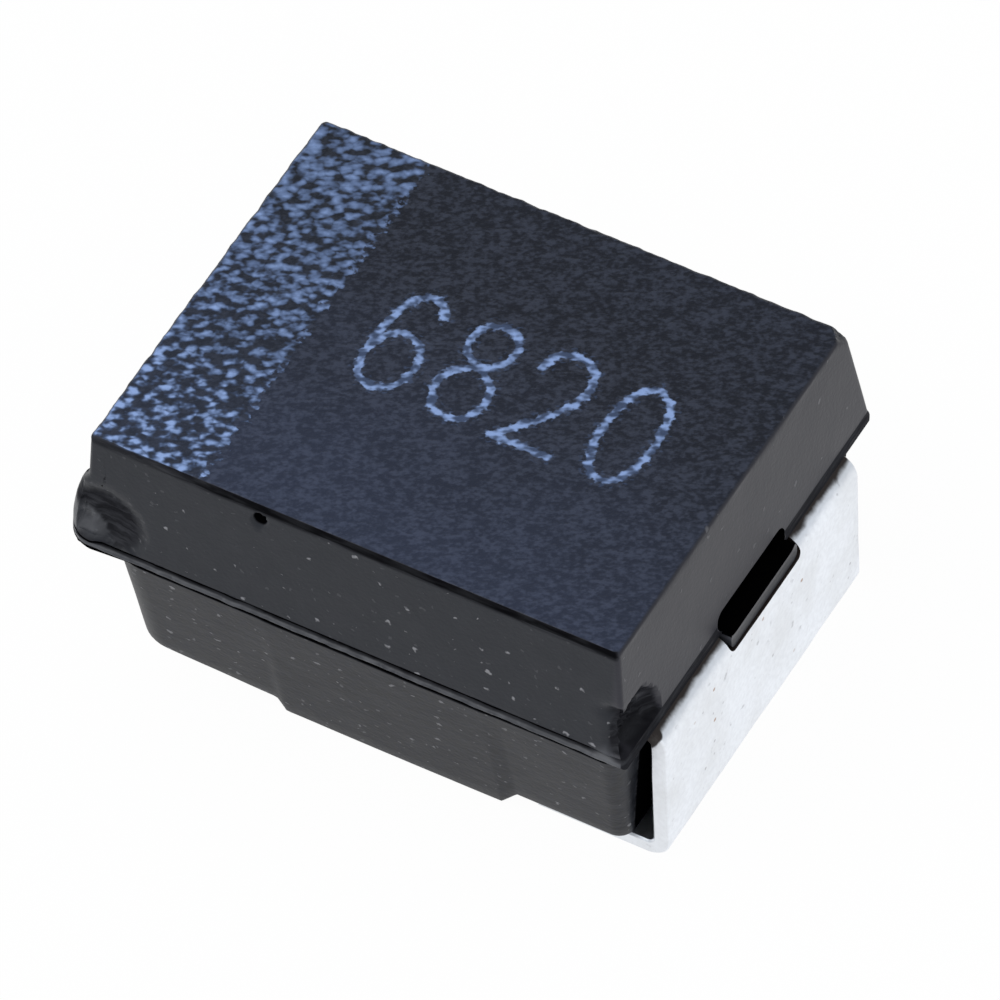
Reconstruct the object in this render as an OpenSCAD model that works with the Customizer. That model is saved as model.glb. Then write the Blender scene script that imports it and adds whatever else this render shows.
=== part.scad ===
// Moulded tantalum chip capacitor, case size 3528-21 (B).
// A sintered tantalum pellet with its coats lies between two folded terminals,
// and an epoxy case is moulded round them in a two-part mould.
// +X is the cathode end, -X the striped anode end, Z = 0 the solder plane.

/* [Upper half of the case] */
// Length at the parting line
case_length = 3.45; // [3.3:0.05:4]
// Width at the parting line
case_width = 2.8; // [2.6:0.05:3.4]
// Height of the top face above the solder plane
case_height = 1.9; // [1.8:0.05:2.4]
// Height of the parting plane above the solder plane
parting_height = 1.09; // [1.04:0.01:1.16]
// Draft of the ends, degrees
end_draft = 5.9; // [3:0.1:8]
// Draft of the long sides, degrees
side_draft = 8.2; // [4:0.1:10]
// Radius of the upright corners
upper_corner_r = 0.05; // [0.03:0.01:0.12]
// Bevel round the top face
top_bevel = 0.03; // [0.01:0.01:0.08]

/* [Lower half of the case] */
// How far the anode end stands back under the upper half
anode_setback = 0.23; // [0.21:0.01:0.3]
// How far the cathode end stands back under the upper half
cathode_setback = 0.065; // [0.04:0.005:0.1]
// How far the long sides stand back under the upper half
side_setback = 0.02; // [0.01:0.01:0.1]
// Draft of the ends, degrees
lower_end_draft = 3.5; // [2:0.1:6]
// Draft of the long sides, degrees
lower_side_draft = 10; // [5:0.1:12]
// Radius of the upright corners
lower_corner_r = 0.22; // [0.1:0.01:0.26]
// Bevel round the underside
bottom_bevel = 0.03; // [0.01:0.01:0.05]
// Height of the middle pad above the solder plane
pad_height = 0.02; // [0.01:0.01:0.05]
// Slope of the steps at both ends of the pad, degrees from level
pad_step_angle = 50; // [40:1:80]

/* [Flash, ear and scoops] */
// How far the flash ridge stands out along the parting line
flash_reach = 0.015; // [0.005:0.005:0.03]
// Thickness of the flash ridge
flash_thickness = 0.05; // [0.03:0.01:0.08]
// Radius of the moulded ear at the anode end's front corner
ear_r = 0.2; // [0.16:0.01:0.25]
// Height of the ear above the parting plane
ear_height = 0.52; // [0.3:0.01:0.6]
// How far the ear stands out past the anode end
ear_reach = 0.08; // [0.05:0.005:0.1]
// How far the ear stands out past the long front side
ear_side_reach = 0.01; // [0.005:0.005:0.015]
// Radius of the round scoops beside the two front corners
scoop_r = 0.34; // [0.25:0.01:0.4]
// Depth of the scoops
scoop_depth = 0.1; // [0.05:0.01:0.14]
// Height of the scoops' middle above the parting plane
scoop_rise = 0.18; // [0.1:0.01:0.25]
// Distance from the case's corner to the scoops' middle
scoop_inset = 0.22; // [0.15:0.01:0.3]

/* [Terminals] */
// Thickness of the terminal sheet
sheet = 0.1; // [0.08:0.01:0.12]
// Width of both terminals
terminal_width = 2.2; // [1.8:0.05:2.25]
// Length of the anode terminal's solder foot
anode_foot_length = 0.62; // [0.5:0.01:0.7]
// Length of the cathode terminal's solder foot
cathode_foot_length = 0.82; // [0.6:0.01:0.9]
// Inside radius of the outer bends
bend_r = 0.04; // [0.03:0.01:0.06]
// Straight stretch between the case wall and each outer bend
wall_to_bend = 0.005; // [0.005:0.005:0.03]
// Inward lean of the anode terminal's leg, degrees
anode_lean = 14; // [11:1:16]
// Gap between the solder feet and the case above them
foot_gap = 0.04; // [0.02:0.01:0.06]
// Gap between the end of each foot and the step of the pad
foot_end_gap = 0.08; // [0.05:0.01:0.12]
// Gap on each side of the anode leg in its groove
groove_side_gap = 0.02; // [0.01:0.01:0.04]

/* [Slot over each bend] */
// Length of the slot, side to side
slot_length = 0.8; // [0.5:0.05:1.2]
// How far the middle of the slot lies towards the back
slot_offset = 0.05; // [0:0.01:0.1]
// How far the slot reaches down the leg from the parting plane
slot_drop = 0.12; // [0.1:0.01:0.3]
// How far the slot reaches into the case wall
slot_inset = 0.1; // [0.05:0.01:0.14]
// Corner radius of the slot
slot_r = 0.05; // [0.03:0.01:0.08]
// How far the recess over the cathode's slot reaches up the end of the upper half
recess_rise = 0.13; // [0.08:0.01:0.2]
// How far the epoxy in the cathode's slot stands out from the lower half
plug_reach = 0.09; // [0.05:0.005:0.1]
// How far the recess reaches down into the slot, onto that epoxy
plug_drop = 0.04; // [0.02:0.01:0.08]

/* [Anode pellet and its coats] */
// Case wall between the coated pellet and each long side, at the parting line
side_wall = 0.42; // [0.35:0.01:0.6]
// Room between the case end and the coated pellet, at the anode end
anode_end_room = 0.92; // [0.85:0.01:1.1]
// Room between the case end and the coated pellet, at the cathode end
cathode_end_room = 0.52; // [0.48:0.01:0.7]
// Height of the coated pellet
pellet_height = 1.1; // [0.9:0.02:1.16]
// Radius of the bare pellet's long edges
pellet_edge_r = 0.08; // [0.04:0.01:0.15]
// Thickness of the manganese dioxide coat
oxide_thickness = 0.04; // [0.03:0.005:0.05]
// Thickness of the graphite coat
graphite_thickness = 0.02; // [0.015:0.005:0.03]
// Thickness of the silver coat
silver_thickness = 0.03; // [0.02:0.005:0.04]
// Band next to the anode face that graphite and silver leave bare
bare_band = 0.12; // [0.08:0.01:0.2]

/* [Wire and washer] */
// Diameter of the tantalum wire
wire_d = 0.24; // [0.2:0.01:0.28]
// How deep the wire is pressed into the pellet
wire_depth = 0.7; // [0.4:0.05:1]
// Length of wire under the anode tab
weld_length = 0.3; // [0.2:0.01:0.32]
// How far the weld sinks the wire into the tab's underside
weld_flat = 0.02; // [0.01:0.005:0.04]
// Gap between the washer and the anode tab
washer_gap = 0.06; // [0.04:0.01:0.1]
// Outside diameter of the insulating washer
washer_d = 0.66; // [0.5:0.01:0.8]
// Thickness of the insulating washer
washer_thickness = 0.12; // [0.08:0.01:0.15]

/* [Cathode joint] */
// Thickness of the silver adhesive between pellet and terminal
adhesive_thickness = 0.04; // [0.02:0.005:0.05]
// Length of the cathode plate over the pellet
plate_length = 1.2; // [0.8:0.05:1.4]
// Width of both terminals' inner tabs and of the cathode plate
tab_width = 1.4; // [1:0.05:1.6]
// How far each terminal keeps its full width inside the case wall
shoulder_depth = 0.14; // [0.1:0.01:0.2]
// Inside radius of the cathode plate's bends
plate_bend_r = 0.04; // [0.02:0.01:0.06]

/* [Hidden] */
$fn = 48;
// Flats round each upright corner of the case
corner_steps = 6;
// What a cutter runs past the face that it cuts
over = 0.3;
// How much shorter than the cathode's slot the recess over it is, at each end
recess_end_gap = 0.01;
// How round the recess's ends are, as a share of its rise
recess_roundness = 0.7;

// Case halves
half_length = case_length / 2;
half_width = case_width / 2;
lower_min_x = -half_length + anode_setback;
lower_max_x = half_length - cathode_setback;
lower_mid_x = (lower_max_x + lower_min_x) / 2;
lower_width = case_width - 2 * side_setback;
recess_height = sheet + foot_gap;

// Terminals: the sheet's top face lies on the parting plane where it leaves the case
tab_bottom = parting_height - sheet;
bend_z = tab_bottom - bend_r;
foot_bend_z = sheet + bend_r;
anode_foot_bend_x = lower_min_x - wall_to_bend + (bend_z - foot_bend_z) * tan(anode_lean);
anode_foot_end = anode_foot_bend_x - (bend_r + sheet) * cos(anode_lean) + anode_foot_length;
cathode_foot_end = lower_max_x + wall_to_bend + bend_r + sheet - cathode_foot_length;

// Coated pellet, centred on the wire
all_coats = oxide_thickness + graphite_thickness + silver_thickness;
wire_z = tab_bottom + weld_flat - wire_d / 2;
coated_min_x = -half_length + anode_end_room;
coated_max_x = half_length - cathode_end_room;
coated_width = case_width - 2 * side_wall;
pellet_min_x = coated_min_x + oxide_thickness;
anode_tab_end = pellet_min_x - washer_thickness - washer_gap;

// Cathode plate, glued over the coated pellet
riser_x = coated_max_x + adhesive_thickness;
plate_bottom = wire_z + pellet_height / 2 + adhesive_thickness;
plate_min_x = coated_max_x - plate_length;

// Rectangle with round corners, centred, with true arcs
module round_rect(length, width, r) {
    square([length - 2 * r, width], center = true);
    square([length, width - 2 * r], center = true);
    for (x = [-1, 1], y = [-1, 1])
        translate([x * (length / 2 - r), y * (width / 2 - r)])
            circle(r);
}

// Corner points of a level rectangle with round corners, anticlockwise from above
function round_ring(length, width, r, z) = [
    for (quarter = [0:3], step = [0:corner_steps])
        let (
            angle = 90 * (quarter + step / corner_steps),
            corner_x = (length / 2 - r) * (quarter == 0 || quarter == 3 ? 1 : -1),
            corner_y = (width / 2 - r) * (quarter < 2 ? 1 : -1)
        )
        [corner_x + r * cos(angle), corner_y + r * sin(angle), z]
];

// Solid through level rings of points, from the lowest to the highest
module loft(rings) {
    n = len(rings[0]);
    last = n * (len(rings) - 1);
    polyhedron(
        points = [for (ring = rings) each ring],
        faces = concat(
            [[for (i = [0:n - 1]) i]],
            [[for (i = [n - 1:-1:0]) last + i]],
            [for (base = [0:n:last - n], i = [0:n - 1])
                [base + i, base + n + i, base + n + (i + 1) % n, base + (i + 1) % n]]
        )
    );
}

// Block on Z = 0 whose four walls lean in as they rise, with a bevel round its top
module drafted_block(length, width, height, r, draft_x, draft_y, bevel) {
    rise = height - bevel;
    top_length = length - 2 * rise * tan(draft_x);
    top_width = width - 2 * rise * tan(draft_y);
    loft([
        round_ring(length, width, r, 0),
        round_ring(top_length, top_width, r, rise),
        round_ring(top_length - 2 * bevel, top_width - 2 * bevel, r - bevel / 2, height)
    ]);
}

// Puts its children at the anode end's front corner, on the ear's axis
module at_ear() {
    translate([-half_length - ear_reach + ear_r, -half_width - ear_side_reach + ear_r, parting_height])
        children();
}

// What rounds the front corner of the upper half off to the ear's outline
module ear_corner_cut() {
    difference() {
        translate([-over, -over, -over / 2])
            cube([over, over, ear_height + over / 2]);
        translate([0, 0, -over])
            cylinder(h = ear_height + 2 * over, r = ear_r);
    }
}

// Dome that stands on the parting plane at the front corner
module ear() {
    rotate_extrude()
        polygon(concat(
            [[0, -flash_thickness / 2], [ear_r, -flash_thickness / 2]],
            [for (a = [0:10:80]) [ear_r * cos(a), ear_height * sin(a)]],
            [[0, ear_height]]
        ));
}

// Round scoops, one in the front side next to the ear and one in the cathode end's face
module scoops() {
    front_y = -half_width + scoop_rise * tan(side_draft);
    end_x = half_length - scoop_rise * tan(end_draft);
    translate([-half_length + scoop_inset, front_y + scoop_depth - scoop_r, parting_height + scoop_rise])
        sphere(r = scoop_r);
    translate([end_x - scoop_depth + scoop_r, -half_width + scoop_inset, parting_height + scoop_rise])
        sphere(r = scoop_r);
}

module upper_half() {
    difference() {
        union() {
            difference() {
                translate([0, 0, parting_height])
                    drafted_block(case_length, case_width, case_height - parting_height,
                        upper_corner_r, end_draft, side_draft, top_bevel);
                at_ear()
                    ear_corner_cut();
            }
            at_ear()
                ear();
        }
        scoops();
    }
}

// Thin ridge of epoxy that the mould leaves along the parting line
module flash_ridge() {
    difference() {
        translate([0, 0, parting_height - flash_thickness / 2])
            linear_extrude(height = flash_thickness)
                round_rect(case_length + 2 * flash_reach, case_width + 2 * flash_reach,
                    upper_corner_r + flash_reach);
        at_ear()
            ear_corner_cut();
    }
}

module lower_half() {
    difference() {
        translate([lower_mid_x, 0, parting_height])
            mirror([0, 0, 1])
                drafted_block(lower_max_x - lower_min_x, lower_width, parting_height - pad_height,
                    lower_corner_r, lower_end_draft, lower_side_draft, bottom_bevel);
        foot_recesses();
        anode_groove();
    }
}

// Room for both solder feet, with a sloped step up from each end of the pad
module foot_recesses() {
    run = (recess_height - pad_height) / tan(pad_step_angle);
    slope = run / (recess_height - pad_height);
    for (step = [[anode_foot_end + foot_end_gap, -1], [cathode_foot_end - foot_end_gap, 1]])
        translate([step[0], case_width / 2, 0])
            scale([step[1], 1, 1])
                rotate([90, 0, 0])
                    linear_extrude(height = case_width)
                        polygon([
                            [0, recess_height],
                            [-run - slope * (over + pad_height), -over],
                            [half_length + over, -over],
                            [half_length + over, recess_height]
                        ]);
}

// Groove in the anode end, parallel to the leg that folds into it
module anode_groove() {
    floor_drop = tab_bottom + over;
    translate([lower_min_x, terminal_width / 2 + groove_side_gap, tab_bottom])
        rotate([90, 0, 0])
            linear_extrude(height = terminal_width + 2 * groove_side_gap)
                polygon([
                    [0, 0],
                    [floor_drop * tan(anode_lean), -floor_drop],
                    [-over, -floor_drop],
                    [-over, 0]
                ]);
}

// Turns the XZ plane into XY, so that a sheet is folded step by step as seen from its edge
module on_edge(x, z) {
    translate([x, 0, z])
        rotate([90, 0, 0])
            children();
}

// Sheet bent round the origin by an angle; what comes next starts where the bend ends
module bend(r, angle, width) {
    rotate_extrude(angle = angle)
        translate([r, -width / 2])
            square([sheet, width]);
    rotate([0, 0, angle])
        children();
}

// Straight sheet beside the origin; what comes next starts at its end
module run(r, length, width) {
    translate([r, 0, -width / 2])
        cube([sheet, length, width]);
    translate([0, length, 0])
        children();
}

// Outside of a terminal on the -X end: tab, bend, leg, second bend and solder foot
module folded_leg(wall_x, lean, foot_length) {
    bend_x = wall_x - wall_to_bend;
    leg_length = (bend_z - foot_bend_z) / cos(lean);
    foot_run = foot_length - (bend_r + sheet) * cos(lean);
    translate([bend_x, -terminal_width / 2, tab_bottom])
        cube([wall_x + shoulder_depth - bend_x, terminal_width, sheet]);
    on_edge(bend_x, bend_z)
        rotate([0, 0, 90])
            bend(bend_r, 90 + lean, terminal_width)
                run(bend_r, leg_length, terminal_width)
                    bend(bend_r, 90 - lean, terminal_width)
                        run(bend_r, foot_run, terminal_width);
}

// Slot over the bend on the -X end, which starts inside the wall
module bend_slot(wall_x) {
    translate([wall_x + slot_inset, slot_offset, parting_height])
        rotate([90, 0, -90])
            linear_extrude(height = slot_inset + over)
                round_rect(slot_length, 2 * slot_drop, slot_r);
}

// Epoxy that fills the lower part of the cathode's slot
module slot_plug() {
    root_depth = slot_inset / 2;
    plug_length = slot_length - 2 * slot_r;
    translate([lower_max_x - root_depth, slot_offset - plug_length / 2, parting_height - slot_drop])
        cube([root_depth + plug_reach, plug_length, slot_drop]);
}

// Recess in the cathode end of the case, over the plug, a little shallower than the slot
module slot_recess() {
    recess_depth = slot_inset * 0.8;
    translate([lower_max_x - recess_depth, slot_offset, parting_height])
        rotate([90, 0, 90])
            linear_extrude(height = recess_depth + over)
                intersection() {
                    round_rect(slot_length - 2 * recess_end_gap, 2 * recess_rise,
                        recess_roundness * recess_rise);
                    translate([-slot_length / 2, -plug_drop])
                        square([slot_length, 2 * recess_rise]);
                }
}

// Rounded block along X that is the pellet with its coats, less an even depth
module coated_block(depth, min_x, max_x) {
    translate([min_x, 0, wire_z])
        rotate([90, 0, 90])
            linear_extrude(height = max_x - min_x)
                round_rect(coated_width - 2 * depth, pellet_height - 2 * depth,
                    pellet_edge_r + all_coats - depth);
}

module pellet_block() {
    coated_block(all_coats, pellet_min_x, coated_max_x - all_coats);
}

module oxide_block() {
    coated_block(all_coats - oxide_thickness, coated_min_x,
        coated_max_x - graphite_thickness - silver_thickness);
}

module graphite_block() {
    coated_block(silver_thickness, coated_min_x + bare_band, coated_max_x - silver_thickness);
}

module silver_block() {
    coated_block(0, coated_min_x + bare_band, coated_max_x);
}

module anode_terminal() {
    tab_start = lower_min_x + shoulder_depth;
    color("silver")
        difference() {
            union() {
                folded_leg(lower_min_x, anode_lean, anode_foot_length);
                translate([tab_start, -tab_width / 2, tab_bottom])
                    cube([anode_tab_end - tab_start, tab_width, sheet]);
            }
            bend_slot(lower_min_x);
        }
}

// Tab, riser and plate that carry the pellet, folded from the shoulder inwards
module cathode_plate() {
    shoulder_x = lower_max_x - shoulder_depth;
    riser_bend_x = riser_x + sheet + plate_bend_r;
    riser_height = plate_bottom - parting_height - 2 * plate_bend_r;
    translate([riser_bend_x, -tab_width / 2, tab_bottom])
        cube([shoulder_x - riser_bend_x, tab_width, sheet]);
    on_edge(riser_bend_x, parting_height + plate_bend_r)
        rotate([0, 0, 180])
            bend(plate_bend_r, 90, tab_width);
    translate([riser_x, -tab_width / 2, parting_height + plate_bend_r])
        cube([sheet, tab_width, riser_height]);
    on_edge(riser_x - plate_bend_r, plate_bottom - plate_bend_r)
        bend(plate_bend_r, 90, tab_width)
            run(plate_bend_r, plate_length + adhesive_thickness - plate_bend_r, tab_width);
}

module cathode_terminal() {
    color("silver")
        difference() {
            union() {
                mirror([1, 0, 0])
                    folded_leg(-lower_max_x, 0, cathode_foot_length);
                cathode_plate();
            }
            mirror([1, 0, 0])
                bend_slot(-lower_max_x);
        }
}

module tantalum_wire() {
    wire_end = anode_tab_end - weld_length;
    color("gray")
        difference() {
            translate([wire_end, 0, wire_z])
                rotate([0, 90, 0])
                    cylinder(h = pellet_min_x + wire_depth - wire_end, d = wire_d);
            anode_terminal();
        }
}

module insulating_washer() {
    color("white")
        translate([pellet_min_x - washer_thickness, 0, wire_z])
            rotate([0, 90, 0])
                difference() {
                    cylinder(h = washer_thickness, d = washer_d);
                    translate([0, 0, -over])
                        cylinder(h = washer_thickness + 2 * over, d = wire_d);
                }
}

module tantalum_pellet() {
    color("dimgray")
        difference() {
            pellet_block();
            tantalum_wire();
        }
}

module manganese_dioxide_coat() {
    color("black")
        difference() {
            oxide_block();
            pellet_block();
            insulating_washer();
            tantalum_wire();
        }
}

module graphite_coat() {
    color("darkslategray")
        difference() {
            graphite_block();
            oxide_block();
        }
}

module silver_coat() {
    color("lightgray")
        difference() {
            silver_block();
            graphite_block();
        }
}

module silver_adhesive() {
    color("gainsboro")
        difference() {
            translate([plate_min_x, -tab_width / 2, wire_z])
                cube([riser_x - plate_min_x, tab_width, plate_bottom - wire_z]);
            silver_block();
            cathode_terminal();
        }
}

module moulded_case() {
    color([0.2, 0.21, 0.26])
        difference() {
            union() {
                upper_half();
                lower_half();
                flash_ridge();
                slot_plug();
            }
            slot_recess();
            anode_terminal();
            cathode_terminal();
            oxide_block();
            silver_block();
            silver_adhesive();
            tantalum_wire();
            insulating_washer();
        }
}

moulded_case();
anode_terminal();
cathode_terminal();
tantalum_pellet();
tantalum_wire();
insulating_washer();
manganese_dioxide_coat();
graphite_coat();
silver_coat();
silver_adhesive();
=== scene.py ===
import math

import bmesh
import bpy
import numpy as np
from mathutils import Matrix, Vector, noise


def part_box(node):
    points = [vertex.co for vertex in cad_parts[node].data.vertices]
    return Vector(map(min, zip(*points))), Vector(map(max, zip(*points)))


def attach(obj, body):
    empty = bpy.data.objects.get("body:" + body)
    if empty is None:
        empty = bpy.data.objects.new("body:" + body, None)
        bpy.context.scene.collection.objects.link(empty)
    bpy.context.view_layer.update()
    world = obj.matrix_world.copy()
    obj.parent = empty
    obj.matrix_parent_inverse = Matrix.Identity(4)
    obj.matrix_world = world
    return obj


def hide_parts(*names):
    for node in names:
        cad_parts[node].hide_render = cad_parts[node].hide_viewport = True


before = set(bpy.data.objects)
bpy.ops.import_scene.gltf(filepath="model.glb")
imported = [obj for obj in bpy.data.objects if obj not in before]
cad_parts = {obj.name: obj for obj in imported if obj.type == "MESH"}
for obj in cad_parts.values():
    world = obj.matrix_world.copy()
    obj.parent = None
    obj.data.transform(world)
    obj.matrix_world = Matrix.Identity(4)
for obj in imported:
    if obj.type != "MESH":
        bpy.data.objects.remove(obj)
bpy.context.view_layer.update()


# Camera
# It looks down on the cathode end's front corner, from far off with a long lens.
case_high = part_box("moulded_case")[1]
azimuth = math.radians(31.4)
elevation = math.radians(50.7)
roll = math.radians(-2.8)
camera_distance = 0.0784
half_view = math.radians(2)
away = Vector((
    math.sin(azimuth) * math.cos(elevation),
    -math.cos(azimuth) * math.cos(elevation),
    math.sin(elevation),
))
level_right = Vector((0, 0, 1)).cross(away).normalized()
level_up = away.cross(level_right)
right = level_right * math.cos(roll) + level_up * math.sin(roll)
up = level_up * math.cos(roll) - level_right * math.sin(roll)
target = Vector((0.000207, -0.000071, case_high.z - 0.00081))
camera_data = bpy.data.cameras.new("camera")
camera_data.sensor_width = 36
camera_data.lens = 18 / math.tan(half_view)
camera_data.clip_start = 0.001
camera_data.clip_end = 20
camera = bpy.data.objects.new("camera", camera_data)
turned = Matrix((right, up, away)).transposed().to_4x4()
camera.matrix_world = Matrix.Translation(target + away * camera_distance) @ turned
bpy.context.scene.collection.objects.link(camera)
bpy.context.scene.camera = camera
bpy.context.scene.view_settings.view_transform = "Standard"


# Moulded case
# Black filled epoxy, cast round the pellet and the terminals in a two-part mould.
# The upper half overhangs the lower one; a thin ridge of flash runs along the joint.
# Where the mould's gates broke off, beside the two front corners, a rough scoop is left.
MM = 0.001
TOP = case_high.z / MM
UPPER_HEIGHT = 0.81
JOINT = TOP - UPPER_HEIGHT
HALF_LENGTH = 1.725
HALF_WIDTH = 1.4
END_DRAFT = math.tan(math.radians(5.9))
SIDE_DRAFT = math.tan(math.radians(8.2))
# The lower half: its two ends and its half width at the joint, and how far each leans in
LOW_MIN_X = -1.555
LOW_MAX_X = 1.66
LOW_HALF_WIDTH = 1.38
LOW_MIN_DRAFT = 0.02
LOW_MAX_DRAFT = math.tan(math.radians(3.5))
LOW_SIDE_DRAFT = math.tan(math.radians(10))
PAD = 0.02
RECESS = 0.14
# Ear on the corner at the anode end; scoops as (place along the side, height, radius, depth)
EAR_X = -1.605
EAR_Y = -1.21
EAR_R = 0.2
EAR_HEIGHT = 0.52
FRONT_SCOOP = (-1.55, JOINT + 0.225, 0.26, 0.06)
END_SCOOP = (-1.2, JOINT + 0.12, 0.23, 0.12)
HOLE_X = -0.575
HOLE_Z = JOINT + 0.71
ARC_STEPS = 5


def stations(stretches):
    """Places along a side, from (end, spacing) stretches that start at 0, as shares of the last end."""
    places, start = [], 0.0
    for end, spacing in stretches:
        count = max(1, round((end - start) / spacing))
        places += [start + (end - start) * i / count for i in range(1, count + 1)]
        start = end
    return np.array(places[:-1]) / start


ALONG = stations([(0.55, 0.012), (1.0, 0.03), (2.9, 0.0125), (3.0, 0.03), (3.35, 0.014)])
ACROSS = stations([(0.5, 0.0125), (0.95, 0.03), (1.9, 0.0125), (2.5, 0.04), (2.7, 0.025)])
SIDE_X = 2 * ARC_STEPS + 1 + len(ALONG)
SIDE_Y = 2 * ARC_STEPS + 1 + len(ACROSS)
RING = 2 * (SIDE_X + SIDE_Y)


def ring(min_x, max_x, half_y, r, end_r, z):
    """Level outline with round corners, from the middle of the front left corner anticlockwise."""
    def arc(x, y, radius, start, count):
        angles = np.radians(start + 45 / ARC_STEPS * np.arange(count))
        return np.column_stack([x + radius * np.cos(angles), y + radius * np.sin(angles)])

    low_x, high_x = min_x + r, max_x - end_r
    low_y, high_y = half_y - r, half_y - end_r
    xs = low_x + (high_x - low_x) * ALONG
    flat = np.vstack([
        arc(low_x, -low_y, r, 225, ARC_STEPS + 1),
        np.column_stack([xs, np.full(len(xs), -half_y)]),
        arc(high_x, -high_y, end_r, 270, ARC_STEPS),
        arc(high_x, -high_y, end_r, 315, ARC_STEPS + 1),
        np.column_stack([np.full(len(ACROSS), max_x), high_y * (2 * ACROSS - 1)]),
        arc(high_x, high_y, end_r, 0, ARC_STEPS),
        arc(high_x, high_y, end_r, 45, ARC_STEPS + 1),
        np.column_stack([xs[::-1], np.full(len(xs), half_y)]),
        arc(low_x, low_y, r, 90, ARC_STEPS),
        arc(low_x, low_y, r, 135, ARC_STEPS + 1),
        np.column_stack([np.full(len(ACROSS), min_x), low_y * (2 * ACROSS[::-1] - 1)]),
        arc(low_x, -low_y, r, 180, ARC_STEPS),
    ])
    return np.column_stack([flat, np.full(len(flat), z)])


def upper_ring(z, out=0.0, r=0.03):
    """Outline of the upper half at a height, moved out or in."""
    half_x = HALF_LENGTH - (z - JOINT) * END_DRAFT + out
    half_y = HALF_WIDTH - (z - JOINT) * SIDE_DRAFT + out
    return ring(-half_x, half_x, half_y, r, r, z)


def lower_ring(depth, out=0.0):
    """Outline of the lower half, at a share of the way from the joint down to its underside."""
    drop = depth * (JOINT - PAD)
    points = ring(
        LOW_MIN_X + drop * LOW_MIN_DRAFT - out, LOW_MAX_X - drop * LOW_MAX_DRAFT + out,
        LOW_HALF_WIDTH - drop * LOW_SIDE_DRAFT + out, 0.22 + out, 0.1 + out, 0)
    bottom = np.interp(points[:, 0], [-1.4, -0.606, -0.549, 0.804, 0.905],
                       [RECESS, RECESS - 0.03, PAD, PAD, RECESS])
    points[:, 2] = JOINT - depth * (JOINT - bottom)
    return points


def coons(outline):
    """Inner points of a patch spanned by one ring, row by row from front to back."""
    front = outline[:SIDE_X + 1]
    east = outline[SIDE_X:SIDE_X + SIDE_Y + 1]
    back = outline[SIDE_X + SIDE_Y:2 * SIDE_X + SIDE_Y + 1][::-1]
    west = np.vstack([outline[2 * SIDE_X + SIDE_Y:], outline[:1]])[::-1]
    u = ((front - front[0])[:, :1] / (front[-1] - front[0])[0])[:, 0]
    v = ((east - east[0])[:, 1:2] / (east[-1] - east[0])[1])[:, 0]
    u, v = u[None, :, None], v[:, None, None]
    blend = (1 - v) * front[None] + v * back[None] + (1 - u) * west[:, None] + u * east[:, None]
    corners = ((1 - u) * (1 - v) * front[0] + u * (1 - v) * front[-1]
               + (1 - u) * v * back[0] + u * v * back[-1])
    return (blend - corners)[1:-1, 1:-1]


# The rings, from the rim of the top face down to the rim of the underside
EDGE = 0.02
top_rings = [upper_ring(TOP - EDGE + EDGE * math.cos(a), EDGE * (math.sin(a) - 1))
             for a in np.radians([0, 22, 45, 68, 90])]
wall_rings = [upper_ring(z) for z in np.concatenate([
    np.linspace(TOP - EDGE - 0.012, TOP - 0.14, 6), np.linspace(TOP - 0.17, JOINT + 0.44, 7),
    np.linspace(JOINT + 0.42, JOINT + 0.075, 21)])]
# Flash: height over the joint, reach, share of painted shade, share of painted highlight
FLASH = np.array([
    (0.066, -0.001, 0.4, 0), (0.056, -0.010, 1, 0), (0.045, -0.014, 1, 0), (0.038, 0.000, 0.5, 0.3),
    (0.034, 0.010, 0, 0.62), (0.027, 0.014, 0, 0.68), (0.019, 0.014, 0, 0.55), (0.012, 0.009, 0.7, 0.1),
    (0.004, 0.002, 1, 0), (-0.012, -0.012, 1, 0)])
flash_rings = [upper_ring(JOINT + rise) for rise in FLASH[:, 0]]
low_rings = [lower_ring(depth) for depth in [0.028, 0.041, 0.054, 0.066, *np.linspace(0.08, 0.97, 13)]]
foot_rings = [lower_ring(0.97 + 0.03 * math.sin(a), 0.03 * (math.cos(a) - 1))
              for a in np.radians([30, 60, 90])]
rings = top_rings + wall_rings + flash_rings + low_rings + foot_rings
# Each point's row counts its rings from the top; the top patch is row -1
RIM_END = len(top_rings)
WALL_END = RIM_END + len(wall_rings)
FLASH_END = WALL_END + len(flash_rings)
top_patch = coons(top_rings[0])
patch_shape = top_patch.shape[:2]
points = np.vstack(rings + [top_patch.reshape(-1, 3)])
row = np.full(len(points), -1)
row[:len(rings) * RING] = np.repeat(np.arange(len(rings)), RING)
# Level direction out of the case at each point
outward = np.zeros((len(points), 2))
for level, outline in enumerate(rings):
    along = np.roll(outline, -2, axis=0) - np.roll(outline, 2, axis=0)
    sideways = np.column_stack([along[:, 1], -along[:, 0]])
    outward[level * RING:(level + 1) * RING] = sideways / np.linalg.norm(sideways, axis=1)[:, None]


def ripple(places, size, seed, octaves=2):
    """Smooth noise of about -1 to 1 at each place, with lumps of the given size."""
    offset = Vector((seed * 17.3, seed * 5.1, seed * 9.7))
    return np.array([noise.fractal(Vector(p) / size + offset, 1.0, 2.0, octaves) for p in places])


# Flash; at the cathode end it is worn flat. Its creases are painted dark as shade, and its top pale as a
# highlight.
# One share says how far a point is painted dark for shade, one how far it is painted pale for light; the
# raw share gathers broken epoxy with the painted shade.
to_end = np.clip(outward[:, 0], 0, 1)
painted_shade = np.zeros(len(points))
painted_highlight = np.zeros(len(points))
for level, (rise, out, shaded, light) in enumerate(FLASH):
    here = row == WALL_END + level
    points[here, :2] += outward[here] * (out * (1 - 0.85 * to_end[here]))[:, None]
    painted_shade[here] = shaded + (0.62 - shaded) * to_end[here]
    painted_highlight[here] = light * (1 - to_end[here])
# Painted shade under the ridge, on the top rows of the lower half
for level, shaded in enumerate([1, 1, 1, 0.85, 0.2]):
    painted_shade[row == FLASH_END + level] = shaded

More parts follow.
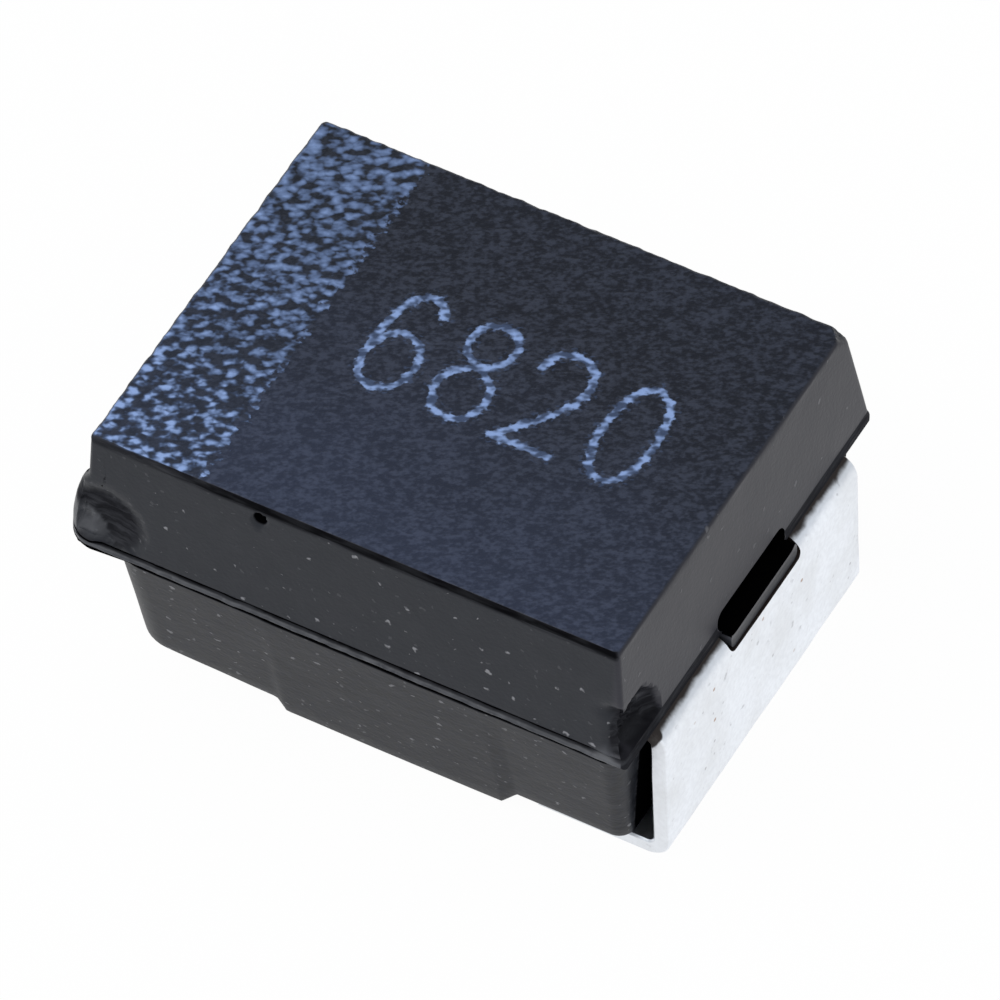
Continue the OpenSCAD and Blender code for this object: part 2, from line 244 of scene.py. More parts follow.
# Ear: the corner swells out to a dome that stands on the joint
x, y, z = points.T.copy()
height = np.clip((z - JOINT + 0.025) / EAR_HEIGHT, 0, 1)
reach_x = x - EAR_X
reach_y = y - EAR_Y
distance = np.hypot(reach_x, reach_y) + 1e-9
dome = EAR_R * np.sqrt(1 - height ** 2)
swollen = np.maximum(distance, dome + 0.004 * ripple(points, 0.07, 1))
swollen = np.minimum(swollen, np.where(height < 0.55, 0.203, 9))
near_corner = (row >= RIM_END) & (row < FLASH_END) & (reach_x < 0.06) & (reach_y < 0.1)
near_corner &= (distance < 0.3) & (distance > 0.08)
fade = np.clip((0.06 - reach_x) / 0.06, 0, 1) * np.clip((0.1 - reach_y) / 0.1, 0, 1)
grow = np.where(near_corner, 1 + (swollen / distance - 1) * fade, 1)
points[:, 0] = EAR_X + reach_x * grow
points[:, 1] = EAR_Y + reach_y * grow

# Scoops: round bowls with a rough, striated floor
x, y, z = points.T.copy()
rough = ripple(points * np.array([1, 1, 6]), 0.16, 2, 3)
lump = ripple(points, 0.05, 3, 3)
raw_and_shade = np.zeros(len(points))
wall = (row >= RIM_END) & (row < WALL_END)
cx, cz, radius, depth = FRONT_SCOOP
to_front = np.clip(-outward[:, 1] * 1.4 - 0.3, 0, 1)
share = ((x - cx) ** 2 / 1.3 + (z - cz) ** 2) / radius ** 2 + 0.1 * lump
bowl = np.clip(1 - share, 0, 1) * wall
points[:, 1] += depth * to_front * bowl ** 1.3 + 0.010 * rough * bowl * to_front
raw_and_shade = np.maximum(raw_and_shade, np.clip(bowl * 1.1, 0, 0.66) * (y < -1.1))
# The ear's slope that faces the light is painted pale as a highlight, and kept clear of the broken black
ear_edge = -1.65 + 0.77 * (JOINT + 0.295 - z) + 0.03 * lump
lit_ear = wall * np.clip((ear_edge - x) / 0.035, 0, 1) * (y < -1.1)
lit_ear = lit_ear * np.clip((JOINT + 0.30 - z) / 0.08, 0, 1)
raw_and_shade *= 1 - lit_ear
painted_highlight += 0.5 * lit_ear
cy, cz, radius, depth = END_SCOOP
share = ((y - cy) ** 2 + (z - cz) ** 2 / 1.5) / radius ** 2 + 0.12 * lump
bowl = np.clip(1 - share, 0, 1) * wall * np.clip(outward[:, 0] * 1.4 - 0.3, 0, 1)
points[:, 0] -= depth * bowl ** 0.7 * (1 + 0.35 * lump)
raw_and_shade = np.maximum(raw_and_shade, np.clip(bowl * 4, 0, 0.68))
# Painted highlight: pale streaks across the end scoop where it catches light
for streak_y, streak_z, streak_r in [(-1.06, 0.215, 0.032), (-1.30, 0.055, 0.04)]:
    streak = (x > 1.5) * np.exp(-((y - streak_y) ** 2 + (z - JOINT - streak_z) ** 2) / streak_r ** 2)
    raw_and_shade *= 1 - 0.75 * streak
    painted_highlight += 0.2 * streak

# The front edge next to that scoop is bitten off, with a valley over a lip that is painted bright as a
# highlight and cleared of painted shade
to_corner = np.hypot(x - 1.70, y + 1.37)
bite = wall * np.exp(-(to_corner / 0.07) ** 2) * np.clip(1 - ((z - JOINT - 0.22) / 0.2) ** 2, 0, 1)
points[:, 0] -= 0.05 * bite * (1 + 0.5 * lump)
points[:, 1] += 0.06 * bite * (1 + 0.5 * lump)
raw_and_shade = np.maximum(raw_and_shade, np.clip(bite * 1.6, 0, 0.62))
valley_z = JOINT + 0.36 - 0.1 * (x - 1.65)
valley = wall * to_front * np.exp(-((x - 1.65) / 0.08) ** 2 - ((z - valley_z) / 0.045) ** 2)
points[:, 1] += 0.035 * valley
raw_and_shade = np.maximum(raw_and_shade, np.clip(valley * 0.7, 0, 0.55))
lip_z = JOINT + 0.055 - 0.3 * abs(x - 1.6)
lip = to_front * np.exp(-((x - 1.60) / 0.08) ** 2 - ((z - lip_z) / 0.045) ** 2)
lip *= (row >= RIM_END) & (row < FLASH_END - 2)
points[:, 1] -= 0.008 * lip
painted_highlight += 0.9 * lip * (1 - bite)
painted_shade *= 1 - lip * (row < WALL_END + 5)
# Painted shade: the end wall about the joint near the front corner, in the shadow under the flash beside
# the leg
shaded_at_end = (row >= WALL_END) & (row < FLASH_END + 2) & (y < -1.02) & (outward[:, 0] > 0.2)
raw_and_shade = np.maximum(raw_and_shade, 0.66 * shaded_at_end)

# Blow hole high in the front side
share = np.hypot(x - HOLE_X, z - HOLE_Z) / 0.05
hole = np.clip(1 - share ** 2, 0, 1) * ((row >= 0) & (row < WALL_END) & (y < -1.2))
points[:, 1] += 0.05 * hole
raw_and_shade = np.maximum(raw_and_shade, hole * 0.5)

# Painted shade: a dark band under the front edge of the top face; it and the flash's painted shade join
# the raw share
shade = wall * np.clip((z - TOP + 0.066) / 0.03, 0, 1) + (row > 0) * (row < RIM_END)
shade *= to_front * np.clip(0.6 + (x + 1.6) * 0.5, 0, 1)
raw_and_shade = np.maximum(raw_and_shade, np.clip(painted_shade, 0, 1) * 0.95)
raw_and_shade = np.maximum(raw_and_shade, np.clip(shade, 0, 1) * 0.85)
# Painted shade: the cathode end's lower wall behind the leg, darkened for the leg's shadow
shaded_behind_leg = (row >= FLASH_END) * np.clip((y + 1.15) / 0.05, 0, 1) * np.clip(outward[:, 0] * 2 - 1, 0, 1)
raw_and_shade = np.maximum(raw_and_shade, shaded_behind_leg)

# Chipped top corner, at the back of the cathode end
normal = np.array([0.62, 0.45, 0.64])
normal = normal / np.linalg.norm(normal)
corner = np.array([HALF_LENGTH - UPPER_HEIGHT * END_DRAFT, HALF_WIDTH - UPPER_HEIGHT * SIDE_DRAFT, TOP])
beyond = (points - corner) @ normal + 0.055 + 0.008 * lump
chip = (beyond > 0) & (row < WALL_END)
points -= np.where(chip, beyond, 0)[:, None] * normal

# Uneven edges, flash and walls
x, y, z = points.T.copy()
wave = ripple(np.column_stack([x, y, z * 0.3]), 0.11, 4, 3)
rim = np.where((row >= 0) & (row < RIM_END), np.clip((y - x + 1.2) / 1.5, 0.25, 1), 0)
flash = (row >= WALL_END + 1) & (row < FLASH_END - 1)
broad = (wall | (row >= FLASH_END)) * 0.004 * ripple(points, 0.6, 6)
points[:, :2] += outward * (0.007 * wave * rim + 0.004 * wave * flash + broad)[:, None]
over_ear = wall & (x < -1.55) & (y < -1.2) & (z > JOINT + 0.5)
points[:, 0] += np.where(over_ear, 0.09 * (TOP - z), 0)
points[:, 2] += 0.003 * wave * (rim > 0) + 0.004 * ripple(points, 0.09, 5) * flash

# Faces: bands between the rings, the top patch, and strips across the underside
around = np.arange(RING)
quads = []
for level in range(len(rings) - 1):
    first = level * RING + around
    second = level * RING + (around + 1) % RING
    quads.append(np.column_stack([second, first, first + RING, second + RING]))
grid = np.full((SIDE_Y + 1, SIDE_X + 1), -1)
grid[0] = np.arange(SIDE_X + 1)
grid[:, -1] = SIDE_X + np.arange(SIDE_Y + 1)
grid[-1] = (SIDE_X + SIDE_Y + np.arange(SIDE_X + 1))[::-1]
grid[:, 0] = ((2 * SIDE_X + SIDE_Y + np.arange(SIDE_Y + 1)) % RING)[::-1]
grid[1:-1, 1:-1] = len(rings) * RING + np.arange(patch_shape[0] * patch_shape[1]).reshape(patch_shape)
quads.append(np.column_stack([
    grid[:-1, :-1].ravel(), grid[:-1, 1:].ravel(), grid[1:, 1:].ravel(), grid[1:, :-1].ravel()]))
last = (len(rings) - 1) * RING
fronts = last + np.arange(SIDE_X + 1)
backs = (last + SIDE_X + SIDE_Y + np.arange(SIDE_X + 1))[::-1]
quads.append(np.column_stack([fronts[1:], fronts[:-1], backs[:-1], backs[1:]]))
faces = np.vstack(quads).tolist()
faces.append([int(i) for i in (last + SIDE_X + np.arange(SIDE_Y + 1))[::-1]])
faces.append([int(last + i) for i in ((2 * SIDE_X + SIDE_Y + np.arange(SIDE_Y + 1)) % RING)[::-1]])


def new_object(name, mesh):
    """Object in the scene that holds the given mesh or lamp."""
    piece = bpy.data.objects.new(name, mesh)
    bpy.context.scene.collection.objects.link(piece)
    return piece


def add_values(mesh, name, values):
    """Keeps one number a point on a mesh, for its material to read."""
    mesh.attributes.new(name, "FLOAT", "POINT").data.foreach_set("value", np.asarray(values, np.float32))


def face_outward(mesh):
    """Turns all faces of a closed mesh outward."""
    shell = bmesh.new()
    shell.from_mesh(mesh)
    bmesh.ops.recalc_face_normals(shell, faces=shell.faces)
    shell.to_mesh(mesh)
    shell.free()


def prism(outline, low_y, high_y, value):
    """Object whose upright outline of (x, z) points runs from one y to another, in millimetres."""
    count = len(outline)
    corners = [(px * MM, py * MM, pz * MM) for py in (low_y, high_y) for px, pz in outline]
    ends = [list(range(count))[::-1], list(range(count, 2 * count))]
    sides = [[i, (i + 1) % count, count + (i + 1) % count, count + i] for i in range(count)]
    mesh = bpy.data.meshes.new("cutter")
    mesh.from_pydata(corners, [], ends + sides)
    face_outward(mesh)
    add_values(mesh, "raw_and_shade", np.full(2 * count, value))
    return new_object("cutter", mesh)


def slot_block(low, high, r):
    """Object that fills a box, with its four edges along X rounded."""
    ring_points = []
    for cy, cz, start in [(high[1] - r, high[2] - r, 0), (low[1] + r, high[2] - r, 90),
                          (low[1] + r, low[2] + r, 180), (high[1] - r, low[2] + r, 270)]:
        for a in np.radians(start + np.linspace(0, 90, 9)):
            ring_points.append((cy + r * math.cos(a), cz + r * math.sin(a)))
    block = prism(ring_points, low[0], high[0], 1.0)
    block.data.transform(Matrix(((0, 1, 0, 0), (1, 0, 0, 0), (0, 0, 1, 0), (0, 0, 0, 1))))
    block.data.flip_normals()
    return block


def cut(piece, cutter, operation="DIFFERENCE"):
    """Takes a cutter's shape out of a piece, or adds it, and the cutter away."""
    change = piece.modifiers.new("cut", "BOOLEAN")
    change.operation = operation
    change.solver = "MANIFOLD"
    change.object = cutter
    bpy.context.view_layer.objects.active = piece
    bpy.ops.object.modifier_apply(modifier=change.name)
    bpy.data.objects.remove(cutter)


def mark_cut(mesh, low, high):
    """Keeps 1 on the faces that a level cutter with this box left in a mesh, and 0 on all others."""
    count = len(mesh.polygons)
    centres = np.empty(count * 3, np.float32)
    mesh.polygons.foreach_get("center", centres)
    centres = centres.reshape(-1, 3) / MM
    normals = np.empty(count * 3, np.float32)
    mesh.polygons.foreach_get("normal", normals)
    normals = normals.reshape(-1, 3)
    inside = np.all((centres > np.array(low) - 0.002) & (centres < np.array(high) + 0.002), axis=1)
    bare = inside & ((np.abs(normals[:, 0]) < 0.1) | (centres[:, 0] < low[0] + 0.01))
    mesh.attributes.new("cut", "FLOAT", "FACE").data.foreach_set("value", bare.astype(np.float32))


# Marks
# Four plain digits, burnt into the top face by laser as thin strokes. Each stroke is a line of
# points in a box one unit wide and high, and the case's mesh keeps how near each point lies to one.
DIGITS = {
    "6": [(0.88, 0.86), (0.7, 0.97), (0.45, 1), (0.2, 0.86), (0.06, 0.55), (0.05, 0.28), (0.2, 0.05),
          (0.5, 0), (0.82, 0.07), (0.96, 0.28), (0.84, 0.5), (0.5, 0.58), (0.2, 0.5), (0.07, 0.34)],
    "8": [(0.5, 0.54), (0.18, 0.64), (0.1, 0.8), (0.24, 0.95), (0.5, 1), (0.78, 0.95), (0.9, 0.8),
          (0.82, 0.64), (0.5, 0.54), (0.13, 0.42), (0.03, 0.24), (0.2, 0.05), (0.5, 0), (0.82, 0.05),
          (0.97, 0.24), (0.87, 0.42), (0.5, 0.54)],
    "2": [(0.06, 0.76), (0.16, 0.93), (0.45, 1), (0.78, 0.95), (0.94, 0.77), (0.86, 0.56), (0.55, 0.32),
          (0.18, 0.1), (0.04, 0), (0.04, 0), (0.5, 0.01), (0.98, 0)],
    "0": [(0.5, 1), (0.2, 0.9), (0.05, 0.65), (0.04, 0.35), (0.2, 0.09), (0.5, 0), (0.8, 0.09),
          (0.96, 0.35), (0.95, 0.65), (0.8, 0.9), (0.5, 1)],
}
# Each digit's left edge and width
PLACES = [("6", -0.63, 0.33), ("8", -0.17, 0.33), ("2", 0.28, 0.35), ("0", 0.79, 0.33)]
DIGIT_LOW_Y = -0.26
DIGIT_HEIGHT = 0.7
STROKE_REACH = 0.08


def smooth_line(knots, steps=6):
    """Points of a smooth curve through the knots."""
    padded = [knots[0]] + list(knots) + [knots[-1]]
    curve = []
    for before, start, end, after in zip(padded, padded[1:], padded[2:], padded[3:]):
        for t in np.arange(steps) / steps:
            curve.append([0.5 * (2 * s + (e - b) * t + (2 * b - 5 * s + 4 * e - f) * t ** 2
                                 + (3 * s - b - 3 * e + f) * t ** 3)
                          for b, s, e, f in zip(before, start, end, after)])
    return np.array(curve + [list(knots[-1])])


nearest = np.full(len(points), 9.0)
on_top = np.flatnonzero(row == -1)
flat = points[on_top, :2]
for digit, left, width in PLACES:
    curve = smooth_line(DIGITS[digit]) * [width, DIGIT_HEIGHT] + [left, DIGIT_LOW_Y]
    for start, end in zip(curve[:-1], curve[1:]):
        run = end - start
        share = np.clip((flat - start) @ run / max(run @ run, 1e-9), 0, 1)
        apart = np.hypot(*(flat - start - share[:, None] * run).T)
        nearest[on_top] = np.minimum(nearest[on_top], apart)


# The case itself, with the epoxy that fills the cathode strip's slot from behind, the recess over
# it, and the groove in which the anode strip's leg lies
case_mesh = bpy.data.meshes.new("epoxy_case")
case_mesh.from_pydata((points * MM).tolist(), [], faces)
add_values(case_mesh, "raw_and_shade", raw_and_shade)
add_values(case_mesh, "stroke", np.clip(1 - nearest / STROKE_REACH, 0, 1))
add_values(case_mesh, "painted_highlight", np.clip(painted_highlight * (0.85 + 0.5 * lump), 0, 1))
add_values(case_mesh, "lid", np.where(row < 1, 1.0, np.where(row < 2, 0.5, 0)))
epoxy_case = new_object("epoxy_case", case_mesh)
plug = slot_block((1.6, -0.325, JOINT - 0.112), (1.79, 0.42, JOINT + 0.02), 0.045)
plug.data.attributes["raw_and_shade"].data.foreach_set("value", np.zeros(len(plug.data.vertices), np.float32))
# The plug's face is painted paler, as painted light on it
add_values(plug.data, "painted_highlight", np.full(len(plug.data.vertices), 0.45))
cut(epoxy_case, plug, "UNION")
recess_low = (1.58, -0.345, JOINT - 0.01)
recess_high = (2.0, 0.415, JOINT + 0.135)
cut(epoxy_case, slot_block(recess_low, recess_high, 0.07))
LEAN = math.radians(14)
groove = [(-2.0, JOINT - 0.1), (-1.495, JOINT - 0.1), (-1.495 + 1.2 * math.tan(LEAN), JOINT - 1.3),
          (-2.0, JOINT - 1.3)]
cut(epoxy_case, prism(groove, -1.12, 1.12, 0.0))
# The recess's inner faces are marked, and the material paints them black as shade
mark_cut(epoxy_case.data, recess_low, recess_high)
epoxy_case.data.shade_smooth()
epoxy_case.data.set_sharp_from_angle(angle=math.radians(38))


class Signal:
    """A number in a shader. Python's operators on it add Math nodes."""
    def __init__(self, finish, socket):
        self.finish = finish
        self.socket = socket

    def math(self, operation, *values):
        return self.finish.add("Math", {"operation": operation}, dict(enumerate(values)))

    def __add__(self, other):
        return self.math("ADD", self, other)

    def __sub__(self, other):
        return self.math("SUBTRACT", self, other)

    def __rsub__(self, other):
        return self.math("SUBTRACT", other, self)

    def __mul__(self, other):
        return self.math("MULTIPLY", self, other)

    __radd__ = __add__

    def most(self, other):
        return self.math("MAXIMUM", self, other)

    def rise(self, low, high):
        """0 below low, 1 above high, and a smooth step between them."""
        return self.finish.add("MapRange", {"interpolation_type": "SMOOTHSTEP"}, {
            "Value": self, "From Min": low, "From Max": high})

    def other(self, name):
        """Another output of the same node."""
        return Signal(self.finish, self.socket.node.outputs[name])


class Finish:
    """A material, or the world, whose nodes are added one by one."""
    def __init__(self, name, owner=None):
        self.owner = owner or bpy.data.materials.new(name)
        self.owner.use_nodes = True
        self.tree = self.owner.node_tree
        self.tree.nodes.clear()

    def add(self, kind, settings, values, output=0):
        """Adds a node, gives it its settings, then the values or links of its sockets."""
        node = self.tree.nodes.new("ShaderNode" + kind)
        for name, value in settings.items():
            setattr(node, name, value)
        for name, value in values.items():
            if isinstance(value, Signal):
                self.tree.links.new(value.socket, node.inputs[name])
            else:
                node.inputs[name].default_value = value
        return Signal(self, node.outputs[output]) if node.outputs else None

    def mix(self, share, first, second):
        """Colour between two colours."""
        return self.add("Mix", {"data_type": "RGBA"}, {0: share, 6: first, 7: second}, 2)

    def place(self):
        """Place on the piece, in millimetres."""
        spot = self.add("TexCoord", {}, {}, "Object")
        return self.add("VectorMath", {"operation": "SCALE"}, {0: spot, "Scale": 1000.0})

    def noise(self, place, scale, detail, distortion=0.0, output=0):
        """Smooth noise between 0 and 1."""
        return self.add("TexNoise", {}, {
            "Vector": place, "Scale": scale, "Detail": detail, "Distortion": distortion}, output)

    def bent(self, place, scale, reach, near):
        """A place moved to and fro sideways by up to half the reach, as noise says."""
        push = self.noise(near, scale, 1.0, output="Color")
        return self.add("VectorMath", {"operation": "MULTIPLY_ADD"}, {
            0: push, 1: (reach, reach, 0.0), 2: place})

    def cells(self, place, scale):
        """Distance to the middle of the nearest of many flat cells of random shape."""
        return self.add("TexVoronoi", {"voronoi_dimensions": "2D"}, {
            "Vector": place, "Scale": scale, "Randomness": 1.0}, "Distance")

    def chance(self, cells):
        """A random number for each cell."""
        return self.add("SeparateColor", {}, {0: cells.other("Color")})

    def value(self, name):
        """A number kept on the mesh."""
        return self.add("Attribute", {"attribute_name": name}, {}, "Fac")

    def done(self, surface):
        """Joins the surface to the output, and gives the finished material or world."""
        kind = "World" if isinstance(self.owner, bpy.types.World) else "Material"
        self.add("Output" + kind, {}, {"Surface": surface})
        return self.owner


# Epoxy: navy black and matt on top, blacker on the sides, with a fine grain and some dust
epoxy = Finish("epoxy")
spot = epoxy.place()
along_x = epoxy.add("SeparateXYZ", {}, {0: spot}, "X")
along_y = along_x.other("Y")
along_z = along_x.other("Z")
# Where is what: the top face, the strokes of the digits, broken epoxy with painted shade, the recess
# painted black as shade, the blow hole
lid = epoxy.value("lid")
stroke = epoxy.value("stroke")
hole_distance = epoxy.add("VectorMath", {"operation": "DISTANCE"}, {
    0: spot, 1: (HOLE_X, -1.27, HOLE_Z)}, "Value")
raw_and_shade_share = epoxy.value("raw_and_shade").most(epoxy.value("cut")).most((0.048 - hole_distance).rise(-0.008, 0.012))
# Grain of the mould on the top face, drawn out aslant
slanted = epoxy.add("Mapping", {"vector_type": "TEXTURE"}, {
    "Vector": spot, "Rotation": (0, 0, math.radians(28)), "Scale": (1.5, 1, 1)})
grain = epoxy.noise(slanted, 46.0, 2.0)
coarse_grain = epoxy.noise(slanted, 17.0, 2.0)
mottle = epoxy.noise(spot, 9.0, 3.0)
cloud = epoxy.noise(spot, 1.6, 3.0)
edge_noise = epoxy.noise(spot, 22.0, 2.0)
# Painted glints: the top's grain is painted in lighter specks, as glints of its rough skin
painted_glints = (grain * 0.62 + coarse_grain * 0.38).rise(0.40, 0.65)
# Painted light: the top is painted lighter toward the front and left and darker toward the back and
# right, with a random cloud in it
front_top = epoxy.mix(painted_glints, (0.017, 0.024, 0.048, 1), (0.039, 0.050, 0.087, 1))
back_top = epoxy.mix(painted_glints, (0.003, 0.005, 0.012, 1), (0.026, 0.032, 0.051, 1))
to_back = (along_y * 0.5 + along_x * 0.08 + 0.72 + (cloud - 0.5) * 0.5).rise(0.0, 1.1)
top_colour = epoxy.mix(to_back, front_top, back_top)
# Sides: the lower half is blacker; the cathode end is painted a little paler, as painted light
low_side = (JOINT - 0.02 - along_z).rise(0.0, 0.03)
end_side = (along_x - 1.6).rise(0.0, 0.05)
lower_grain = epoxy.noise(spot, 30.0, 2.0)
low_colour = epoxy.mix(lower_grain.rise(0.32, 0.7), (0.005, 0.006, 0.009, 1), (0.015, 0.017, 0.025, 1))
side_colour = epoxy.mix(mottle, (0.010, 0.012, 0.017, 1), (0.017, 0.019, 0.025, 1))
side_colour = epoxy.mix(low_side, side_colour, low_colour)
side_colour = epoxy.mix(end_side * (1 - low_side), side_colour, (0.026, 0.026, 0.034, 1))
colour = epoxy.mix(lid, side_colour, top_colour)
# Painted highlight: pale where light catches the flash's top, the ear's slope, the lip, streaks in the
# end scoop and the plug
colour = epoxy.mix(epoxy.value("painted_highlight"), colour, (0.095, 0.098, 0.108, 1))

# Stripe and digits: burnt by laser into a pale blue crust of specks, denser beside the edges
lumps = epoxy.noise(slanted, 21.0, 1.0)
fine_lumps = epoxy.noise(slanted, 40.0, 1.0)
patches = epoxy.noise(spot, 2.6, 2.0)
bubbles = epoxy.cells(epoxy.bent(slanted, 20.0, 0.05, spot), 19.0)
crust = lumps * 0.58 + (0.8 - bubbles) * 0.32 + fine_lumps * 0.12 + 0.032 + (patches - 0.5) * 0.12
near_edge = (-1.17 - along_y).rise(0.0, 0.1).most((-1.53 - along_x).rise(0.0, 0.1))
crust = crust + near_edge * 0.08
stripe = (-0.955 - along_x + (edge_noise - 0.5) * 0.2).rise(-0.012, 0.012) * lid
line = (stroke + (edge_noise - 0.5) * 0.7 + (fine_lumps - 0.5) * 0.35).rise(0.62, 0.82)
halo = stroke.rise(0.15, 0.4) * fine_lumps.rise(0.54, 0.68) * 0.45
# The stripe's specks are painted brighter toward the front, the same painted light as on the top
haze = (stripe * crust.rise(0.44 - to_back * 0.05, 0.58)).most(line * 0.75).most(halo)
bright = stripe * crust.rise(0.515 - to_back * 0.12, 0.70 + to_back * 0.25) * (1.08 - to_back * 0.1)
bright = bright.most(line * lumps.rise(0.38, 0.66)) * 0.68
colour = epoxy.mix(stripe * 0.45, colour, (0.004, 0.007, 0.013, 1))
colour = epoxy.mix(haze * 0.8, colour, (0.056, 0.090, 0.180, 1))
colour = epoxy.mix(bright, colour, (0.34, 0.49, 0.86, 1))

# Dust: pale specks of random size, scattered over the sides
walls = epoxy.add("CombineXYZ", {}, {"X": along_x + along_y, "Y": along_z * 1.3, "Z": 0.0})
bent_walls = epoxy.bent(walls, 30.0, 0.05, spot)
sides = (1 - lid) * (1 - end_side * 0.7)


def dust(scale, empty, largest):
    """Specks in cells of a scale: the share of empty cells, and the largest size."""
    cells = epoxy.cells(bent_walls, scale)
    return ((epoxy.chance(cells) - empty) * (largest / (1 - empty)) - cells).rise(0.0, 0.08)


specks = dust(6.5, 0.45, 0.15) * sides
fine_specks = dust(13.0, 0.6, 0.2) * sides * low_side.most(0.25)
colour = epoxy.mix(specks.most(fine_specks * 0.5) * 0.85, colour, (0.24, 0.24, 0.255, 1))

relief = grain * (0.4 + lid * 1.4) + mottle * 0.5 + bright * 0.8 + specks * 1.5
skin_normal = epoxy.add("Bump", {}, {"Strength": 0.45, "Distance": 0.000008, "Height": relief})
skin = epoxy.add("BsdfPrincipled", {}, {
    "Base Color": colour, "Roughness": 0.38, "Specular IOR Level": 0.25, "Normal": skin_normal})

# Broken epoxy in the scoops, blow hole and slots: black, rough and torn in level steps; painted shade
# too
stretch = epoxy.add("VectorMath", {"operation": "MULTIPLY"}, {0: spot, 1: (3.0, 3.0, 22.0)})
torn = epoxy.noise(stretch, 1.6, 4.0, 0.3)
broken_colour = epoxy.mix(torn.rise(0.35, 0.7), (0.010, 0.010, 0.012, 1), (0.038, 0.039, 0.044, 1))
# Near black where the share is high: the painted shade in the flash's creases, under the top's front
# edge, behind the leg and in the recess
broken_colour = epoxy.mix(raw_and_shade_share.rise(0.7, 0.95), broken_colour, (0.001, 0.001, 0.0012, 1))
broken_normal = epoxy.add("Bump", {}, {"Strength": 0.8, "Distance": 0.00002, "Height": torn})
broken = epoxy.add("BsdfPrincipled", {}, {
    "Base Color": broken_colour, "Roughness": 0.75, "Specular IOR Level": 0.0, "Normal": broken_normal})
low_share = low_side * (lower_grain.rise(0.3, 0.75) * 0.12 + 0.24)
epoxy_share = (raw_and_shade_share + (torn - 0.5) * 0.7).rise(0.15, 0.7).most(low_share)
epoxy_surface = epoxy.add("MixShader", {}, {0: epoxy_share, 1: skin, 2: broken})
epoxy_case.data.materials.clear()
epoxy_case.data.materials.append(epoxy.done(epoxy_surface))
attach(epoxy_case, "root")
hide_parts("moulded_case")


# Terminals
# Two strips of tinned nickel-iron, 0.1 mm thick, stamped with a slot over the outer bend.
# Each leaves the case at the joint and is folded down its end and under it as a solder foot.
# The cathode strip's inner end steps up to a plate that is glued onto the pellet's silver coat.
SHEET = 0.1
BEND_R = 0.04
MIDDLE_R = BEND_R + SHEET / 2
TERMINAL_HALF_WIDTH = 1.1
TAB_HALF_WIDTH = 0.7
# Middle of the sheet at the joint; ends of the straight leg; the plate; the feet
TAB_Z = JOINT - SHEET / 2
LEG_TOP = JOINT - SHEET - BEND_R
LEG_BOTTOM = SHEET + BEND_R
PLATE_LENGTH = 1.2
PLATE_START_X = 0.005
PLATE_Z = 1.53
CATHODE_BEND_X = 1.665
CATHODE_FOOT_X = 0.985
ANODE_TAB_X = -0.945
ANODE_BEND_X = -1.5
ANODE_FOOT_X = -0.814


def fold(path, angle, steps=9):
    """Goes on from the path's end round a bend; a positive angle turns left as seen from the front."""
    x, z, heading = path[-1]
    side = math.copysign(MIDDLE_R, angle)
    cx = x - side * math.sin(heading)
    cz = z + side * math.cos(heading)
    for i in range(1, steps + 1):
        h = heading + math.radians(angle) * i / steps
        path.append((cx + side * math.sin(h), cz - side * math.cos(h), h))


def go(path, length, step=0.05):
    """Goes on straight from the path's end."""
    x, z, heading = path[-1]
    count = max(1, round(length / step))
    for i in range(1, count + 1):
        gone = length * i / count
        path.append((x + gone * math.cos(heading), z + gone * math.sin(heading), heading))


def folded_sheet(name, path, half_width_at):
    """Closed sheet along a path of (x, z, heading), with softened edges and faint waves."""
    across = np.linspace(-1, 1, 45)
    chamfer = 0.012
    half = SHEET / 2
    verts = []
    edge_values = []
    for px, pz, heading in path:
        half_width = half_width_at(px, pz)
        profile = [(-half, v * (half_width - chamfer)) for v in across]
        profile += [(-half + chamfer, half_width), (half - chamfer, half_width)]
        profile += [(half, v * (half_width - chamfer)) for v in across[::-1]]
        profile += [(half - chamfer, -half_width), (-half + chamfer, -half_width)]
        for t, w in profile:
            verts.append((px - t * math.sin(heading), w, pz + t * math.cos(heading)))
            edge_values.append(0.4 if abs(t) < half - 0.001 else 0.0)
    ring_size = len(verts) // len(path)
    verts = np.array(verts)
    ripples = ripple(verts, 0.45, 8) * 0.004 + ripple(verts, 0.13, 9) * 0.0012
    headings = np.repeat([h for _, _, h in path], ring_size)
    verts[:, 0] -= np.sin(headings) * ripples
    verts[:, 2] += np.cos(headings) * ripples * (np.abs(np.sin(headings)) > 0.2)
    faces = []
    for i in range(len(path) - 1):
        for j in range(ring_size):
            a = i * ring_size + j
            b = i * ring_size + (j + 1) % ring_size
            faces.append([a, b, b + ring_size, a + ring_size])
    faces.append(list(range(ring_size))[::-1])
    faces.append(list(range((len(path) - 1) * ring_size, len(path) * ring_size)))
    mesh = bpy.data.meshes.new(name)
    mesh.from_pydata((verts * MM).tolist(), [], faces)
    add_values(mesh, "raw_and_shade", edge_values)
    face_outward(mesh)
    return new_object(name, mesh)


def stamp_slot(strip, min_x, max_x):
    """Cuts the long slot over the bend next to the case."""
    low = (min_x, -0.35, JOINT - 0.12)
    high = (max_x, 0.45, JOINT + 0.12)
    cut(strip, slot_block(low, high, 0.05))
    mark_cut(strip.data, low, high)


cathode_path = [(PLATE_START_X, PLATE_Z, 0.0)]
go(cathode_path, PLATE_LENGTH)
fold(cathode_path, -90)
go(cathode_path, PLATE_Z - TAB_Z - 2 * MIDDLE_R)
fold(cathode_path, 90)
go(cathode_path, CATHODE_BEND_X - cathode_path[-1][0])
fold(cathode_path, -90)
go(cathode_path, LEG_TOP - LEG_BOTTOM)
fold(cathode_path, -90)
go(cathode_path, CATHODE_BEND_X - CATHODE_FOOT_X)
cathode = folded_sheet("cathode_strip", cathode_path,
                       lambda x, z: TERMINAL_HALF_WIDTH if x > 1.55 or z < 0.9 else TAB_HALF_WIDTH)
stamp_slot(cathode, 1.56, 2.0)

